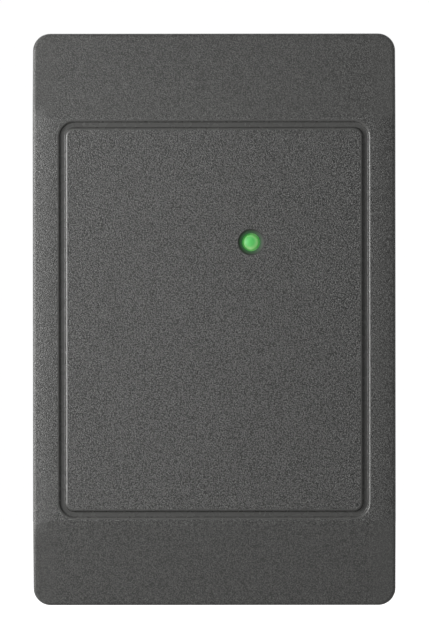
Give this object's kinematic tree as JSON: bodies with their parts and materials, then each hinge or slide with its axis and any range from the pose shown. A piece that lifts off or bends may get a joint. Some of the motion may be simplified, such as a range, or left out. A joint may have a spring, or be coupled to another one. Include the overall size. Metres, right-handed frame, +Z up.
{
  "type": "proximity card reader",
  "caption": "Wall-mount proximity card reader: a ramped dark grey front cover hinged on a wired base with antenna, board and terminals.",
  "frame": {"origin": "on the wall plane, at the middle of the front cover's outline", "axes": "+X to the right of someone facing the reader, +Y into the wall, +Z up the wall"},
  "size_m": [0.0756, 0.0173, 0.1194],
  "materials": {
    "cover_plastic": "charcoal grey, fine moulded bead texture",
    "lens": "green tinted diffusing cap, lit",
    "base_plastic": "black, fine moulded texture",
    "foam": "closed-cell foam strip",
    "rubber": "matte black moulded rubber",
    "board": "green solder mask over woven laminate",
    "ferrite": "dark grey sintered or filled ferrite",
    "nylon": "natural moulded nylon",
    "winding": "enamelled copper wire",
    "led_epoxy": "clear green epoxy, lit",
    "chip_plastic": "black moulding compound with tinned leads",
    "tinned_steel": "bright tin-plated steel",
    "screw_steel": "zinc-plated steel",
    "contact_brass": "tin-flashed brass",
    "film_capacitor": "dipped red-brown film capacitor",
    "capacitor_sleeve": "dark blue shrink sleeve",
    "terminal_plastic": "green moulded polyamide"
  },
  "bodies": {
    "base": {"base_housing": "base_plastic", "rear_seal": "foam", "cable_grommet": "rubber", "circuit_board": "board", "ferrite_sheet": "ferrite", "antenna_former": "nylon", "antenna_coil": "winding", "coil_lead_start": "winding", "coil_lead_finish": "winding", "status_led": "led_epoxy", "led_spacer": "nylon", "sounder": "chip_plastic", "microcontroller": "chip_plastic", "reader_chip": "chip_plastic", "clock_crystal": "tinned_steel", "voltage_regulator": "chip_plastic", "power_choke": "ferrite", "tuning_capacitor": "film_capacitor", "reservoir_capacitor": "capacitor_sleeve", "supply_capacitor": "capacitor_sleeve", "surge_suppressor": "chip_plastic", "polarity_diode": "chip_plastic", "driver_transistor_1": "chip_plastic", "driver_transistor_2": "chip_plastic", "tamper_switch": "chip_plastic", "terminal_block": "terminal_plastic", "board_screw_1": "screw_steel", "board_screw_2": "screw_steel", "board_screw_3": "screw_steel", "board_screw_4": "screw_steel", "terminal_contact_1": "contact_brass", "terminal_contact_2": "contact_brass", "terminal_contact_3": "contact_brass", "terminal_contact_4": "contact_brass", "terminal_contact_5": "contact_brass", "terminal_contact_6": "contact_brass", "terminal_contact_7": "contact_brass", "terminal_contact_8": "contact_brass"},
    "cover": {"front_cover": "cover_plastic", "led_lens": "lens"},
    "tamper_plunger": {"tamper_plunger": "nylon"},
    "terminal_screw_1": {"terminal_screw_1": "screw_steel"},
    "wire_clamp_1": {"wire_clamp_1": "tinned_steel"},
    "terminal_screw_2": {"terminal_screw_2": "screw_steel"},
    "wire_clamp_2": {"wire_clamp_2": "tinned_steel"},
    "terminal_screw_3": {"terminal_screw_3": "screw_steel"},
    "wire_clamp_3": {"wire_clamp_3": "tinned_steel"},
    "terminal_screw_4": {"terminal_screw_4": "screw_steel"},
    "wire_clamp_4": {"wire_clamp_4": "tinned_steel"},
    "terminal_screw_5": {"terminal_screw_5": "screw_steel"},
    "wire_clamp_5": {"wire_clamp_5": "tinned_steel"},
    "terminal_screw_6": {"terminal_screw_6": "screw_steel"},
    "wire_clamp_6": {"wire_clamp_6": "tinned_steel"},
    "terminal_screw_7": {"terminal_screw_7": "screw_steel"},
    "wire_clamp_7": {"wire_clamp_7": "tinned_steel"},
    "terminal_screw_8": {"terminal_screw_8": "screw_steel"},
    "wire_clamp_8": {"wire_clamp_8": "tinned_steel"}
  },
  "joints": [
    {"name": "cover_swing", "type": "hinge", "parent": "base", "child": "cover", "pos_m": [0, -0.0027, 0.0579], "axis": [-1, 0, 0], "range_deg": [0, 30]},
    {"name": "tamper_travel", "type": "slide", "parent": "base", "child": "tamper_plunger", "axis": [0, -1, 0], "range_m": [0, 0.001]},
    {"name": "wire_clamp_1_rise", "type": "slide", "parent": "base", "child": "wire_clamp_1", "axis": [0, -1, 0], "range_m": [0, 0.001]},
    {"name": "terminal_screw_1_turn", "type": "hinge", "parent": "base", "child": "terminal_screw_1", "pos_m": [-0.01225, -0.0129, -0.0106], "axis": [0, 1, 0], "range_deg": [0, 900]},
    {"name": "wire_clamp_2_rise", "type": "slide", "parent": "base", "child": "wire_clamp_2", "axis": [0, -1, 0], "range_m": [0, 0.001]},
    {"name": "terminal_screw_2_turn", "type": "hinge", "parent": "base", "child": "terminal_screw_2", "pos_m": [-0.00875, -0.0129, -0.0106], "axis": [0, 1, 0], "range_deg": [0, 900]},
    {"name": "wire_clamp_3_rise", "type": "slide", "parent": "base", "child": "wire_clamp_3", "axis": [0, -1, 0], "range_m": [0, 0.001]},
    {"name": "terminal_screw_3_turn", "type": "hinge", "parent": "base", "child": "terminal_screw_3", "pos_m": [-0.00525, -0.0129, -0.0106], "axis": [0, 1, 0], "range_deg": [0, 900]},
    {"name": "wire_clamp_4_rise", "type": "slide", "parent": "base", "child": "wire_clamp_4", "axis": [0, -1, 0], "range_m": [0, 0.001]},
    {"name": "terminal_screw_4_turn", "type": "hinge", "parent": "base", "child": "terminal_screw_4", "pos_m": [-0.00175, -0.0129, -0.0106], "axis": [0, 1, 0], "range_deg": [0, 900]},
    {"name": "wire_clamp_5_rise", "type": "slide", "parent": "base", "child": "wire_clamp_5", "axis": [0, -1, 0], "range_m": [0, 0.001]},
    {"name": "terminal_screw_5_turn", "type": "hinge", "parent": "base", "child": "terminal_screw_5", "pos_m": [0.00175, -0.0129, -0.0106], "axis": [0, 1, 0], "range_deg": [0, 900]},
    {"name": "wire_clamp_6_rise", "type": "slide", "parent": "base", "child": "wire_clamp_6", "axis": [0, -1, 0], "range_m": [0, 0.001]},
    {"name": "terminal_screw_6_turn", "type": "hinge", "parent": "base", "child": "terminal_screw_6", "pos_m": [0.00525, -0.0129, -0.0106], "axis": [0, 1, 0], "range_deg": [0, 900]},
    {"name": "wire_clamp_7_rise", "type": "slide", "parent": "base", "child": "wire_clamp_7", "axis": [0, -1, 0], "range_m": [0, 0.001]},
    {"name": "terminal_screw_7_turn", "type": "hinge", "parent": "base", "child": "terminal_screw_7", "pos_m": [0.00875, -0.0129, -0.0106], "axis": [0, 1, 0], "range_deg": [0, 900]},
    {"name": "wire_clamp_8_rise", "type": "slide", "parent": "base", "child": "wire_clamp_8", "axis": [0, -1, 0], "range_m": [0, 0.001]},
    {"name": "terminal_screw_8_turn", "type": "hinge", "parent": "base", "child": "terminal_screw_8", "pos_m": [0.01225, -0.0129, -0.0106], "axis": [0, 1, 0], "range_deg": [0, 900]}
  ],
  "couplings": [
    {"joint": "tamper_travel", "follows": "cover_swing", "m_per_rad": 0.0019099},
    {"joint": "terminal_screw_1_turn", "follows": "wire_clamp_1_rise", "rad_per_m": 15708},
    {"joint": "terminal_screw_2_turn", "follows": "wire_clamp_2_rise", "rad_per_m": 15708},
    {"joint": "terminal_screw_3_turn", "follows": "wire_clamp_3_rise", "rad_per_m": 15708},
    {"joint": "terminal_screw_4_turn", "follows": "wire_clamp_4_rise", "rad_per_m": 15708},
    {"joint": "terminal_screw_5_turn", "follows": "wire_clamp_5_rise", "rad_per_m": 15708},
    {"joint": "terminal_screw_6_turn", "follows": "wire_clamp_6_rise", "rad_per_m": 15708},
    {"joint": "terminal_screw_7_turn", "follows": "wire_clamp_7_rise", "rad_per_m": 15708},
    {"joint": "terminal_screw_8_turn", "follows": "wire_clamp_8_rise", "rad_per_m": 15708}
  ]
}
